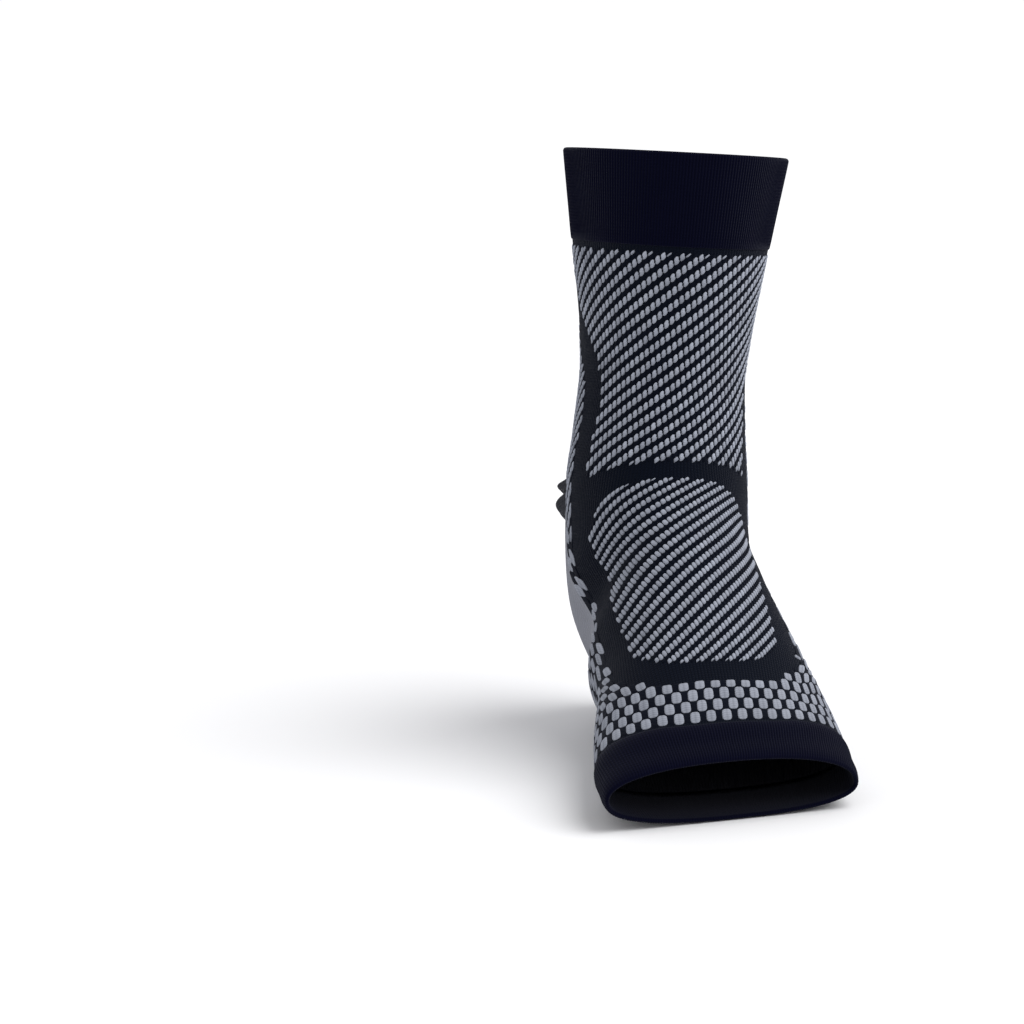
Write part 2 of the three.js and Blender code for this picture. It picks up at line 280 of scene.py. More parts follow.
class Chart:
    """The knitting chart: columns run from -4 at the back by 0 at the ridge to 4, courses by bands."""

    def __init__(self, skin: Skin) -> None:
        """Number the pieces of the chart.

        Args:
            skin: wall that the chart lies on.
        """
        self.skin = skin
        self.names = sorted({name for band in BANDS for name in band.pieces})
        self.grid = np.array([[self.names.index(name) for name in band.pieces] for band in BANDS[:-1]])

    def lifted(self, index: Array, column: Array) -> Array:
        """Start of a band along the ridge, as it is lifted at a column.

        Args:
            index: band numbers.
            column: chart columns.

        Returns:
            Places along the ridge.
        """
        table = np.array([band[:4] for band in BANDS], float)
        start, corner, edge, rear = np.moveaxis(table[index], -1, 0)
        reach = np.abs(column)
        back = edge + (rear - edge) * np.clip(reach - 2, 0, 1)
        side = np.where(reach <= 2, corner + (edge - corner) * (reach - 1), back)
        return start + np.where(reach <= 1, corner * reach**CORNER_POWER, side)

    def locate(self, column: Array, course: Array) -> tuple[Array, Array]:
        """Turn chart places into wall places.

        Args:
            column: chart columns.
            course: band number plus the share of that band.

        Returns:
            Shares of the girth, and places along the ridge.
        """
        index = np.clip(course.astype(int), 0, len(BANDS) - 2)
        low, high = self.lifted(index, column), self.lifted(index + 1, column)
        at = low + (high - low) * (course - index)
        shape, flat = at.shape, at.ravel()
        edges = Edge(*smooth_rows(EDGES, flat).T)
        half = self.skin.girth(flat) / 2
        stops = np.stack([np.zeros_like(flat), edges.inner, edges.outer, edges.outer + STRIP_WIDTH, half])
        reach = np.abs(column).ravel()
        part = np.clip(reach.astype(int), 0, 3)
        where = np.arange(len(flat))
        length = stops[part, where] + (stops[part + 1, where] - stops[part, where]) * (reach - part)
        arc = np.sign(column.ravel()) * length + edges.shift * np.clip(4 - reach, 0, 1)
        return (arc / (2 * half)).reshape(shape), at

    def reach(self, share: Array, at: Array) -> Array:
        """Chart columns of wall places, without their sign.

        Args:
            share: shares of the girth.
            at: places along the ridge.

        Returns:
            Columns from 0 to 4.
        """
        edges = Edge(*smooth_rows(EDGES, at).T)
        half = self.skin.girth(at) / 2
        arc = ((share + 0.5) % 1.0 - 0.5) * 2 * half - edges.shift
        stops = [edges.inner, edges.outer, edges.outer + STRIP_WIDTH]
        widths = [edges.inner, edges.outer - edges.inner, STRIP_WIDTH, half - edges.outer - STRIP_WIDTH]
        length = np.abs(arc)
        part = sum((length >= stop).astype(int) for stop in stops)
        base = np.choose(part, [np.zeros_like(half), *stops])
        return np.minimum(part + (length - base) / np.choose(part, widths), 4)

    def hem(self, index: int, share: Array) -> Array:
        """Start of a band along the ridge at shares of the girth.

        Args:
            index: band number.
            share: shares of the girth.

        Returns:
            Places along the ridge.
        """
        at = np.full(len(share), BANDS[index].start)
        for _ in range(3):
            at = self.lifted(np.full(len(share), index), self.reach(share, at))
        return at

    def piece_at(self, share: Array, at: Array) -> Array:
        """Find the piece that covers each wall place.

        Args:
            share: shares of the girth.
            at: places along the ridge.

        Returns:
            Numbers among the chart's names, -1 beyond the rims.
        """
        reach = self.reach(share, at)
        starts = np.stack([self.lifted(np.full(len(at), k), reach) for k in range(len(BANDS))])
        band = (starts <= at).sum(axis=0) - 1
        inside = (band >= 0) & (band < len(BANDS) - 1)
        part = np.minimum(reach.astype(int), 3)
        return np.where(inside, self.grid[np.clip(band, 0, len(BANDS) - 2), part], -1)


def math_node(operation: str, swapped: bool = False) -> Callable[..., "Value"]:
    """Make a method of values that adds one Math node.

    Args:
        operation: what the node does.
        swapped: whether the value itself comes last.

    Returns:
        The method.
    """
    def method(value: "Value", *others: Any) -> "Value":
        """Feed the value and the others to the node.

        Args:
            value: value whose method it is.
            others: other terms.

        Returns:
            The node's result.
        """
        terms = (*others, value) if swapped else (value, *others)
        made = value.bench.node("ShaderNodeMath", {"operation": operation}, dict(enumerate(terms)))
        return value.bench.value(made)

    return method


class Value:
    """A shader socket that can be used in sums."""

    def __init__(self, bench: "Bench", socket: Socket) -> None:
        """Wrap a socket of a bench's tree."""
        self.bench, self.socket = bench, socket

    __add__, __radd__ = math_node("ADD"), math_node("ADD", swapped=True)
    __sub__, __rsub__ = math_node("SUBTRACT"), math_node("SUBTRACT", swapped=True)
    __mul__, __pow__ = math_node("MULTIPLY"), math_node("POWER")
    fract, size, sine = math_node("FRACT"), math_node("ABSOLUTE"), math_node("SINE")

    def wave(self) -> "Value":
        """Sine of whole turns."""
        return (self * (2 * math.pi)).sine()


class Bench:
    """Bench on which a node tree is put together."""

    def __init__(self, tree: bpy.types.NodeTree) -> None:
        """Keep the tree."""
        self.tree = tree

    def node(self, kind: str, settings: dict[str, Any], inputs: dict[Any, Any]) -> Node:
        """Add a node.

        Args:
            kind: node type.
            settings: its properties, set first.
            inputs: values or sockets by input name or number.

        Returns:
            The new node.
        """
        made = self.tree.nodes.new(kind)
        for key, value in settings.items():
            setattr(made, key, value)
        for key, value in inputs.items():
            self.feed(made.inputs[key], value)
        return made

    def feed(self, target: Socket, value: Any) -> None:
        """Link a socket to an input, or set the input's value.

        Args:
            target: the input.
            value: a socket, a value of a sum, or a plain number or colour.
        """
        source = getattr(value, "socket", value)
        if isinstance(source, Socket):
            self.tree.links.new(source, target)
        else:
            target.default_value = source

    def value(self, node: Node, output: Union[str, int] = 0) -> Value:
        """A node's output, ready for sums."""
        return Value(self, node.outputs[output])


class Dye(Bench):
    """Bench of one material."""

    def __init__(self, name: str) -> None:
        """Start a material with its Principled shader.

        Args:
            name: name of the material.
        """
        self.material = bpy.data.materials.new(name)
        self.material.use_nodes = True
        super().__init__(self.material.node_tree)
        self.shader = self.tree.nodes["Principled BSDF"]

    def finish(self, inputs: dict[str, Any]) -> None:
        """Feed the shader's inputs by name."""
        for name, value in inputs.items():
            self.feed(self.shader.inputs[name], value)

    def mix(self, factor: Any, first: Any, second: Any) -> Socket:
        """Blend two colours."""
        made = self.node("ShaderNodeMix", {"data_type": "RGBA"}, {0: factor, 6: first, 7: second})
        return made.outputs[2]

    def noise(self, vector: Socket, scale: float, detail: float = 3.0) -> Value:
        """A noise value around one half."""
        inputs = {"Vector": vector, "Scale": scale, "Detail": detail, "Roughness": 0.6}
        return self.value(self.node("ShaderNodeTexNoise", {}, inputs), "Fac")


class Knit(Enum):
    """What a yarn's surface shows."""

    RIB = "upright ribs"
    JERSEY = "rows of small loops"
    FLOAT = "one raised stitch"
    PAIR = "two raised wales with a groove between"


@dataclass(frozen=True)
class Yarn:
    """A yarn's finish, as linear colours and surface numbers; shade is the darker colour that painted shade
    and random tone blend towards.
    """

    name: str
    knit: Knit
    colour: tuple[float, float, float]
    shade: tuple[float, float, float]
    roughness: float
    specular: float
    sheen: float
    relief: float

    def material(self) -> Material:
        """Build the yarn's material.

        Returns:
            A material that reads the piece's stitch map.
        """
        dye = Dye(self.name)
        stitch = dye.node("ShaderNodeUVMap", {"uv_map": "stitches"}, {}).outputs["UV"]
        space = dye.node("ShaderNodeTexCoord", {}, {}).outputs["Object"]
        split = dye.node("ShaderNodeSeparateXYZ", {}, {0: stitch})
        across, along = dye.value(split, 0), dye.value(split, 1)
        height, painted_light = self._relief(dye, across, along)
        fibre, cloud = dye.noise(space, FIBRE_SCALE, 4.0), dye.noise(space, CLOUD_SCALE)
        # Painted light: the first term darkens stitch sides, grooves and lower lobes and lightens upper
        # lobes in the base colour; fibre, cloud and the marks' tone are the yarn's own random tone
        tone = painted_light * 0.8 + fibre * 0.4 + cloud * 0.3 - 0.25
        if self.knit in (Knit.FLOAT, Knit.PAIR):
            marked = dye.node("ShaderNodeAttribute", {"attribute_name": "tone"}, {})
            tone = tone + dye.value(marked, "Fac")
        surface = {"Height": height + fibre * 0.35, "Strength": self.relief, "Distance": BUMP_DEPTH}
        dye.finish({
            "Base Color": dye.mix(tone, (*self.shade, 1), (*self.colour, 1)),
            "Roughness": self.roughness + (fibre - 0.5) * 0.2,
            "Normal": dye.node("ShaderNodeBump", {}, surface).outputs["Normal"],
            "Specular IOR Level": self.specular,
            "Sheen Weight": self.sheen,
            "Sheen Roughness": SHEEN_ROUGHNESS,
            "Sheen Tint": SHEEN_TINT,
        })
        return dye.material

    def _relief(self, dye: Dye, across: Value, along: Value) -> tuple[Value, Value]:
        """Height of the yarn's surface and the shade and highlight painted into its colour.

        Args:
            dye: bench of the material.
            across: stitch map across the wales.
            along: stitch map along the wales.

        Returns:
            Height values, and painted shade and highlight values.
        """
        # Painted shade on the sides, in grooves and between loops, and a painted highlight on crowns and
        # upper lobes
        if self.knit is Knit.FLOAT:
            ply = ((across * 2.0 + along * 1.5).wave() * 0.5 + 0.5) * 0.35
            crown = 1 - (across * 1.5) ** 2
            return ply, crown * 0.7 + ply * 0.25 + along * 0.3 - 0.06
        if self.knit is Knit.PAIR:
            groove = (1 + (across * 15) ** 2) ** -1
            crown = 1 - (across * 1.6) ** 4
            course = (along * 2.5 + across.size()).wave() * 0.5 + 0.5
            painted_light = crown * 0.8 - groove * 0.3 + course * 0.24 + along * 0.14 - 0.08
            return course * 0.4 - groove * 0.4, painted_light
        leg = ((across.fract() - 0.5) * 2).size()
        if self.knit is Knit.RIB:
            loop = (along + leg * 0.5).wave() * 0.5 + 0.5
            return (1 - leg ** 2) * 0.7 + loop * 0.3, (1 - leg) * 0.55 + loop * 0.2 + 0.1
        loop = (along + leg * 0.45).wave() * 0.5 + 0.5
        body = 1 - leg ** 3
        return body * 0.6 + loop * body * 0.5, body * 0.35 + loop * 0.35 + 0.1


class Weave(Enum):
    """The sleeve's yarns."""

    BLACK_GROUND = Yarn(
        "black_ground", Knit.JERSEY, colour=(0.0034, 0.0052, 0.0112), shade=(0.0014, 0.0022, 0.0052),
        roughness=0.85, specular=0.03, sheen=0.05, relief=0.8,
    )
    BLACK_RIB = Yarn(
        "black_rib", Knit.RIB, colour=(0.0024, 0.0027, 0.0115), shade=(0.0009, 0.001, 0.005),
        roughness=0.9, specular=0.015, sheen=0.06, relief=0.5,
    )
    BLACK_LOOP = Yarn(
        "black_loop", Knit.FLOAT, colour=(0.0036, 0.005, 0.0105), shade=(0.0014, 0.002, 0.0048),
        roughness=0.85, specular=0.03, sheen=0.04, relief=0.5,
    )
    # A lighter copy of the black yarn for the folds behind the ankle: painted light where the folds catch
    # the light
    BLACK_FOLD = Yarn(
        "black_fold", Knit.JERSEY, colour=(0.03, 0.031, 0.037), shade=(0.007, 0.0074, 0.0098),
        roughness=0.85, specular=0.05, sheen=0.08, relief=0.8,
    )
    GREY_GROUND = Yarn(
        "grey_ground", Knit.JERSEY, colour=(0.3, 0.31, 0.35), shade=(0.15, 0.156, 0.18),
        roughness=0.85, specular=0.12, sheen=0.04, relief=0.7,
    )
    GREY_FLOAT = Yarn(
        "grey_float", Knit.FLOAT, colour=(0.36, 0.385, 0.45), shade=(0.085, 0.092, 0.115),
        roughness=0.82, specular=0.15, sheen=0.04, relief=0.5,
    )
    GREY_CHECK = Yarn(
        "grey_check", Knit.PAIR, colour=(0.31, 0.33, 0.385), shade=(0.07, 0.076, 0.095),
        roughness=0.84, specular=0.15, sheen=0.04, relief=0.5,
    )


def make_mesh(name: str, points: Array, quads: Array, stitches: Array) -> Mesh:
    """Make a smooth mesh.

    Args:
        name: mesh name.
        points: vertices in millimetres.
        quads: vertex numbers of the faces, in order around them.
        stitches: stitch map of every face corner.

    Returns:
        The mesh, in metres, with its stitch map.
    """
    mesh = bpy.data.meshes.new(name)
    mesh.from_pydata((points * MM).tolist(), [], quads.tolist())
    layer = mesh.uv_layers.new(name="stitches")
    layer.data.foreach_set("uv", np.ascontiguousarray(stitches, np.float32).ravel())
    mesh.shade_smooth()
    mesh.update()
    return mesh


def put(name: str, data: Any) -> Piece:
    """Add an object to the scene.

    Args:
        name: its name.
        data: its mesh, light or camera.

    Returns:
        The object.
    """
    made = bpy.data.objects.new(name, data)
    bpy.context.scene.collection.objects.link(made)
    return made


def show(mesh: Mesh, yarn: Material, node: str, slot: str) -> Piece:
    """Put a finished mesh into the scene as a piece of the sleeve.

    Args:
        mesh: its mesh.
        yarn: its material.
        node: part of the frame that it stands for.
        slot: finish in the record, not used.

    Returns:
        The piece.
    """
    mesh.materials.clear()
    mesh.materials.append(yarn)
    piece = put(mesh.name, mesh)
    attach(piece, "root")
    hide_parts(node)
    LOG.info("%s: %d faces for %s", piece.name, len(mesh.polygons), node)
    return piece


@dataclass(frozen=True)
class Flat:
    """A piece's cloth laid flat: width round the leg, length and area, in metres and square metres."""

    width: float
    length: float
    area: float


def even_steps(counts: Sequence[int]) -> Array:
    """Whole numbers, with each span between them divided into a count of steps."""
    return np.concatenate([*(k + np.arange(n) / n for k, n in enumerate(counts)), [len(counts)]])


def no_relief(column: Array, course: Array, share: Array, at: Array) -> Array:
    """Heights of a plain wall."""
    return np.zeros_like(at)


@dataclass
class Cloth:
    """A piece of knitted wall over its cells of the chart."""

    chart: Chart
    node: str
    slot: str
    yarn: Material
    flat: Flat
    wall: float = 1.5
    columns: tuple[int, int, int, int] = (24, 8, 6, 36)
    courses: tuple[int, ...] = (8, 14, 8, 16, 22, 16, 12, 44, 4, 16)
    wales: int = 200
    course_pitch: float = 1.15
    inner_relief: float = 0.5
    relief: Callable[[Array, Array, Array, Array], Array] = no_relief

    def build(self) -> Piece:
        """Returns:
            The piece, a closed wall that follows the skin.
        """
        skin = self.chart.skin
        side, course = even_steps(self.columns), even_steps(self.courses)
        column = np.concatenate([-side[:0:-1], side])
        mine = self._cells(column, course)
        top, right = np.nonzero(mine)[0].max() + 2, len(column)
        grid_column, grid_course = np.meshgrid(column, course[:top])
        share, at = self.chart.locate(grid_column, grid_course)
        offset = self.relief(grid_column, grid_course, share, at)
        outer = skin.place(share, at, offset)
        inner = skin.place(share, at, np.minimum(offset, self.inner_relief) - self.wall)
        corner = np.arange(top * right).reshape(top, right)
        corner[:, -1] = corner[:, 0]
        quads, faces = self._faces(mine[:top - 1], corner)
        loops = skin.read(skin.lengths, share, at) / self.course_pitch
        maps = np.stack([share * self.wales, loops], axis=2).reshape(-1, 2)[faces]
        points = np.concatenate([outer.reshape(-1, 3), inner.reshape(-1, 3)])
        used, index = np.unique(quads, return_inverse=True)
        mesh = make_mesh(f"{self.node}_cloth", points[used], index.reshape(quads.shape), maps)
        mesh.set_sharp_from_angle(angle=math.radians(RIM_ANGLE))
        return self.dress(mesh)

    def _cells(self, column: Array, course: Array) -> Array:
        """Mark the cells of a chart grid that belong to the piece.

        Args:
            column: columns of the grid's lines.
            course: courses of the grid's lines.

        Returns:
            A mark for every cell.
        """
        part = np.abs((column[1:] + column[:-1]) / 2).astype(int)
        band = ((course[1:] + course[:-1]) / 2).astype(int)
        return self.chart.grid[band[:, None], part[None]] == self.chart.names.index(self.node)

    @staticmethod
    def _faces(mine: Array, corner: Array) -> tuple[Array, Array]:
        """Faces of a closed wall over marked cells.

        Args:
            mine: marked cells.
            corner: vertex numbers of the outer face's corners, with the last column joined to the first.

        Returns:
            Vertex numbers of every face, and the unjoined chart corners that give their stitch maps.
        """
        count = corner.size
        open_corner = np.arange(count).reshape(corner.shape)
        rows, cols = np.nonzero(mine)
        round_it = [(0, 0), (0, 1), (1, 1), (1, 0)]
        quads, maps = [], []
        pick = [(rows + a, cols + b) for a, b in round_it]
        joined = np.stack([corner[p] for p in pick], axis=1)
        loose = np.stack([open_corner[p] for p in pick], axis=1)
        quads += [joined, joined[:, ::-1] + count]
        maps += [loose, loose[:, ::-1]]
        below = np.pad(mine, ((1, 0), (0, 0)))[:-1]
        above = np.pad(mine, ((0, 1), (0, 0)))[1:]
        beside = {0: below, 1: np.roll(mine, -1, axis=1), 2: above, 3: np.roll(mine, 1, axis=1)}
        for edge, neighbour in beside.items():
            bare = ~neighbour[rows, cols]
            a, b = joined[bare, edge], joined[bare, (edge + 1) % 4]
            la, lb = loose[bare, edge], loose[bare, (edge + 1) % 4]
            quads.append(np.stack([a, a + count, b + count, b], axis=1))
            maps.append(np.stack([la, la, lb, lb], axis=1))
        return np.concatenate(quads), np.concatenate(maps)

    def dress(self, mesh: Mesh) -> Piece:
        """Args:
            mesh: the piece's mesh.

        Returns:
            The piece.
        """
        piece = show(mesh, self.yarn, self.node, self.slot)
        return piece


@dataclass
class Cuff(Cloth):
    """A ribbed double welt around an opening."""

    rim: float = 254.0
    band: int = 9
    proud: float = 0.5
    ribs: int = 240
    rib_height: float = 0.1
    bulge: float = 0.0
    samples: int = 6
    runs: int = 14
    turns: int = 9
    root: float = 0.9
    rib_fade: tuple[float, float] = (0.3, 2.5)
    rim_fade: tuple[float, float] = (0.1, 1.6)

    def build(self) -> Piece:
        """Returns:
            The piece, a closed ring with a folded rim.
        """
        skin = self.chart.skin
        start = BANDS[self.band].start
        way = math.copysign(1.0, self.rim - start)
        depth, radius = abs(self.rim - start), self.wall / 2
        straight = np.linspace(self.root, depth - radius, self.runs)
        turn = np.linspace(np.pi / 2, -np.pi / 2, self.turns)[1:-1]
        swell = np.sin(np.pi * straight / depth) + 0.8 * np.sin(3 * np.pi * straight / depth)
        outer = np.stack([straight, self.proud + self.bulge * swell], axis=1)
        bend = np.array([depth - radius, self.proud - radius])
        fold = bend + radius * np.stack([np.cos(turn), np.sin(turn)], axis=1)
        under = self.proud - self.wall
        inner = np.stack([straight[::-2], np.full(len(straight[::-2]), under)], axis=1)
        foot = np.array([[0.0, under], [-0.15, -0.25], [-0.05, self.proud * 0.5], [0.3, self.proud * 0.9]])
        profile = np.concatenate([foot, outer, fold, inner])
        share = np.arange(self.ribs * self.samples) / (self.ribs * self.samples)
        along, lift = profile[:, :1], profile[:, 1:]
        fade = smoothstep(along, *self.rib_fade) * smoothstep(depth - along, *self.rim_fade)
        fade = fade * (lift > self.proud - radius)
        rib = self.rib_height * np.cos(2 * np.pi * self.ribs * share[None]) * fade
        hem = self.chart.hem(self.band, share)[None]
        at = hem + (self.rim - hem) * along / depth
        points = skin.place(np.broadcast_to(share, at.shape), at, lift + rib)
        quads, maps = self._ring(points.shape[:2], share, profile, way)
        mesh = make_mesh(f"{self.node}_cloth", points.reshape(-1, 3), quads, maps)
        return self.dress(mesh)

    def _ring(
        self, shape: tuple[int, int], share: Array, profile: Array, way: float,
    ) -> tuple[Array, Array]:
        """Faces and stitch map of a ring with a closed profile.

        Args:
            shape: profile points and points round the ring.
            share: shares of the girth.
            profile: distances from the hem and offsets.
            way: 1 where the rim is above the hem, otherwise -1.

        Returns:
            Vertex numbers of the faces, and the stitch map of their corners.
        """
        rows, cols = shape
        i, j = np.meshgrid(np.arange(cols), np.arange(rows))
        right, above = i + 1, (j + 1) % rows
        ends = [(i, j), (right, j), (right, above), (i, above)]
        run = np.concatenate([[0], np.cumsum(np.linalg.norm(np.diff(profile, axis=0), axis=1))])
        quads = np.stack([(b * cols + a % cols).ravel() for a, b in ends], axis=1)
        wale, course = np.append(share, 1.0) * self.ribs + 0.5, run / self.course_pitch
        maps = np.stack([np.stack([wale[a].ravel(), course[b].ravel()], axis=1) for a, b in ends], axis=1)
        return (quads, maps) if way > 0 else (quads[:, ::-1], maps[:, ::-1])


@dataclass
class StitchMarks:
    """Places of raised stitches on the wall, with half axes in millimetres, tones and flat-cut ends."""

    share: Array
    at: Array
    across: Array
    upward: Array
    tone: Array
    cut: Array

    def mesh(self, skin: Skin, lift: float) -> Mesh:
        """Points that carry each stitch's axes, tone and cut.

        Args:
            skin: wall that the stitches stand on.
            lift: height of their middles over the wall, in millimetres.

        Returns:
            A mesh of loose points.
        """
        normal = unit(skin.read(skin.normal, self.share, self.at))
        mesh = bpy.data.meshes.new("stitch_marks")
        mesh.from_pydata((skin.place(self.share, self.at, lift) * MM).tolist(), [], [])
        for name, values in (("across", self.across), ("upward", self.upward), ("outward", normal)):
            axis = mesh.attributes.new(name, "FLOAT_VECTOR", "POINT")
            axis.data.foreach_set("vector", (values * MM).astype(np.float32).ravel())
        tone, cut = self.tone.astype(np.float32), self.cut.astype(np.int32)
        mesh.attributes.new("tone", "FLOAT", "POINT").data.foreach_set("value", tone)
        mesh.attributes.new("cut", "INT", "POINT").data.foreach_set("value", cut)
        return mesh


class StitchTree:
    """Geometry Nodes tree that sets one slanted stitch on every mark."""

    AXES = {"across": "Width", "upward": "Length", "outward": "Height"}

    def __init__(self) -> None:
        """Build the tree with its named inputs."""
        self.tree = bpy.data.node_groups.new("stitches_on_marks", "GeometryNodeTree")
        self.bench = Bench(self.tree)
        sizes = [(size, "Float") for size in self.AXES.values()]
        for name, kind in [("Marks", "Geometry"), ("Shapes", "Collection"), *sizes, ("Yarn", "Material")]:
            self.tree.interface.new_socket(name, in_out="INPUT", socket_type=f"NodeSocket{kind}")
        self.tree.interface.new_socket("Stitches", in_out="OUTPUT", socket_type="NodeSocketGeometry")
        node = self.bench.node
        given, result = node("NodeGroupInput", {}, {}).outputs, node("NodeGroupOutput", {}, {})
        children = {"Collection": given["Shapes"], "Separate Children": True, "Reset Children": True}
        placed = {
            "Points": given["Marks"],
            "Instance": node("GeometryNodeCollectionInfo", {}, children).outputs[0],
            "Pick Instance": True,
            "Instance Index": self._mark("cut", "INT"),
        }
        rows = node("GeometryNodeInstanceOnPoints", {}, placed)
        slanted = {"Instances": rows.outputs[0], "Transform": self._slant(given)}
        turned = node("GeometryNodeSetInstanceTransform", {}, slanted)
        real = node("GeometryNodeRealizeInstances", {}, {"Geometry": turned.outputs[0]})
        dyed = node("GeometryNodeSetMaterial", {}, {"Geometry": real.outputs[0], "Material": given["Yarn"]})
        self.bench.feed(result.inputs[0], dyed.outputs[0])

    def _slant(self, given: Any) -> Socket:
        """Matrix from a mark's three axes and its place.

        Args:
            given: sockets of the tree's inputs.

        Returns:
            The matrix socket.
        """
        node = self.bench.node
        columns = []
        for axis, size in self.AXES.items():
            factors = {0: self._mark(axis), "Scale": given[size]}
            columns.append(node("ShaderNodeVectorMath", {"operation": "SCALE"}, factors).outputs[0])
        columns.append(node("GeometryNodeInputPosition", {}, {}).outputs[0])
        cells = {}
        for number, column in enumerate(columns):
            split = node("ShaderNodeSeparateXYZ", {}, {0: column}).outputs
            cells.update({4 * number + row: split[row] for row in range(3)})
        return node("FunctionNodeCombineMatrix", {}, cells).outputs[0]

    def _mark(self, name: str, kind: str = "FLOAT_VECTOR") -> Socket:
        """Read what the marks carry under a name."""
        node = self.bench.node("GeometryNodeInputNamedAttribute", {"data_type": kind}, {"Name": name})
        return node.outputs["Attribute"]

    def grow(self, name: str, marks: Mesh, stitch: "StitchShape", size: Vector, yarn: Material) -> Mesh:
        """Make the stitches' mesh.

        Args:
            name: name of the new mesh.
            marks: points with their axes and cuts.
            stitch: shape of one stitch.
            size: shares of the marks' half axes, and height in millimetres.
            yarn: material of the stitches.

        Returns:
            One plain mesh of all the stitches.
        """
        shelf = bpy.data.collections.new(f"{name}_shapes")
        bpy.context.scene.collection.children.link(shelf)
        for number, shape in enumerate(stitch.cuts()):
            shelf.objects.link(bpy.data.objects.new(f"{name}_shape_{number}", shape))
        holder = put(name, marks)
        modifier = holder.modifiers.new("stitches", "NODES")
        modifier.node_group = self.tree
        given = {"Shapes": shelf, "Yarn": yarn, **dict(zip(self.AXES.values(), size))}
        for socket in self.tree.interface.items_tree:
            if socket.name in given:
                modifier[socket.identifier] = given[socket.name]
        graph = bpy.context.evaluated_depsgraph_get()
        grown = holder.evaluated_get(graph)
        mesh = bpy.data.meshes.new_from_object(grown, preserve_all_data_layers=True, depsgraph=graph)
        mesh.name = name
        for thing in (holder, *shelf.objects):
            bpy.data.objects.remove(thing)
        bpy.data.collections.remove(shelf)
        for layer in (*self.AXES, "cut"):
            mesh.attributes.remove(mesh.attributes[layer])
        return mesh


class StitchShape(Enum):
    """A raised stitch: faces across and along, waist, prouder upper end, bluntness and groove."""

    TWIN_LOOP = (5, 10, 0.1, 0.14, 4.5, 0.0)
    GRAIN = (5, 7, 0.0, 0.1, 3.4, 0.0)
    PILLOW = (6, 8, 0.0, 0.05, 5.5, 0.2)
    LOOP = (4, 5, 0.0, 0.0, 2.6, 0.0)

    def cuts(self) -> list[Mesh]:
        """Build the stitch whole, with its foot cut flat, with its head cut flat, and with both."""
        blunt, flat = self.value[4], CUT_BLUNTNESS
        return [self._mesh(foot, head) for head in (blunt, flat) for foot in (blunt, flat)]

    def _mesh(self, foot: float, head: float) -> Mesh:
        """Build one stitch with half sizes of one.

        Args:
            foot: bluntness of the lower end.
            head: bluntness of the upper end.

        Returns:
            An arched shell whose edge lies below the cloth.
        """
        across, along, waist, lean, _, groove = self.value
        angle = np.linspace(-STITCH_WRAP, STITCH_WRAP, across + 1) * np.pi
        place = np.sin(np.linspace(-0.5, 0.5, along + 1) * np.pi)
        x, y = np.meshgrid(angle, place)
        girth = np.sqrt(1 - np.abs(y) ** np.where(y < 0, foot, head))
        girth = girth * (1 - waist + waist * np.cos(2 * np.pi * (y + 0.5)))
        square = SQUARE_WRAP if groove else 1.0
        width = np.sign(np.sin(x)) * np.abs(np.sin(x)) ** square * girth * (1 - lean * y)
        arch = np.sign(np.cos(x)) * np.abs(np.cos(x)) ** square * girth * (1 + lean * y)
        arch = arch - groove * np.exp(-((x / GROOVE_WIDTH) ** 2)) * girth
        points = np.stack([width, y, arch], axis=2).reshape(-1, 3)
        corner = np.arange(len(points)).reshape(x.shape)
        ends = [corner[:-1, :-1], corner[:-1, 1:], corner[1:, 1:], corner[1:, :-1]]
        quads = np.stack(ends, axis=2).reshape(-1, 4)
        maps = np.stack([x / np.pi, y], axis=2).reshape(-1, 2)[quads]
        return make_mesh(f"{self.name.lower()}_stitch", points / MM, quads, maps)


# Stripes counted over the instep: rows are powers of the place across the foot, columns of the height
INSTEP_STRIPES = np.array([
    [-3.33, -8.37, -1.36, -1.56, 0.74],
    [6.81, -2.21, 0.32, 1.1, 0],
    [-2.82, 1.55, 0.48, 0, 0],
    [2.21, -1.49, 0, 0, 0],
    [-1.35, 0, 0, 0, 0],
])
# Stripes counted up the leg: rows are a level and waves round it, columns are powers of the place
LEG_STRIPES = np.array([
    [1.11, -7.51, -0.07, -0.02],
    [0.06, 0.16, 0.17, 0],
    [0.14, 0.36, -0.15, 0],
    [-0.3, 0.25, 0, 0],
    [-0.03, -0.16, 0, 0],
])


def marked_ends(inside: Array) -> tuple[Array, Array]:
    """First and last marked number in every row."""
    return inside.argmax(axis=1), inside.shape[1] - 1 - inside[:, ::-1].argmax(axis=1)


class Lean(NamedTuple):
    """How far the wales lean at a place, in wales per millimetre."""

    at: float
    wales: float


